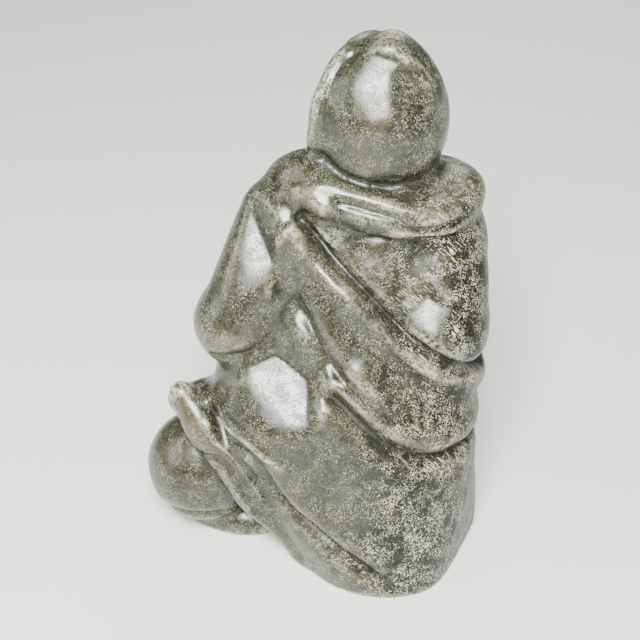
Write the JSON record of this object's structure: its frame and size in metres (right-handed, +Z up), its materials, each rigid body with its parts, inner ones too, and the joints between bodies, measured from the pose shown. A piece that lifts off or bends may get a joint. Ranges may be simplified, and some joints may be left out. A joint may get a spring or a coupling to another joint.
{
  "type": "stone figure carving",
  "caption": "Carved stone statue of a crouching figure in a hooded, wrapped robe, one knee raised, that stands on its flat underside.",
  "frame": {"origin": "on the flat underside, near its middle", "axes": "+Z up from the underside to the top of the hood, the chest faces -Y, and the head turns towards +X, the figure's own left"},
  "size_m": [0.22, 0.1806, 0.3406],
  "materials": {
    "stone": "satin, waxed, with pale flecks and rasp marks"
  },
  "bodies": {
    "root": {"stone_figure": "stone"}
  },
  "joints": []
}
